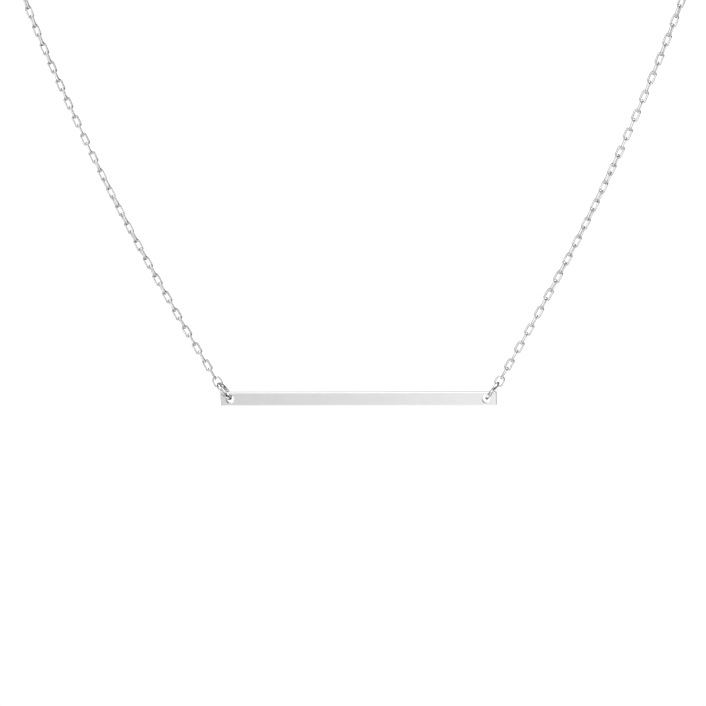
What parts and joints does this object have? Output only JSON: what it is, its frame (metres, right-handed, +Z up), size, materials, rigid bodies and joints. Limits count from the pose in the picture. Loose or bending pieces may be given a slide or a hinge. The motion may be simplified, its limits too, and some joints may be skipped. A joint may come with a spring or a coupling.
{
  "type": "bar necklace",
  "caption": "Thin rectangular bar pendant with a hole at each end, hung on jump rings from a fine cable chain that closes in a ring clasp at the nape.",
  "frame": {"origin": "the place on the nape where the clasp lies, on the side of it that meets the skin", "axes": "+X to the viewer's right along the bar, +Y away from the viewer and out of the back of the neck, +Z up"},
  "size_m": [0.1079, 0.0753, 0.0955],
  "materials": {
    "bar_silver": "polished silver with fine handling scratches",
    "ring_silver": "polished silver wire",
    "chain_silver": "polished silver wire, a little darker where links meet",
    "clasp_silver": "polished silver"
  },
  "bodies": {
    "necklace": {"end_link_left": "chain_silver", "end_link_right": "chain_silver", "chain_left": "chain_silver", "chain_right": "chain_silver", "clasp_ring_left": "ring_silver", "clasp_ring_right": "ring_silver", "clasp": "clasp_silver"},
    "pendant": {"bar": "bar_silver", "jump_ring_left": "ring_silver", "jump_ring_right": "ring_silver"}
  },
  "joints": [
    {"name": "bar_swing", "type": "hinge", "parent": "necklace", "child": "pendant", "pos_m": [0, -0.07185, -0.08973], "axis": [1, 0, 0], "range_deg": [-25, 25]}
  ]
}
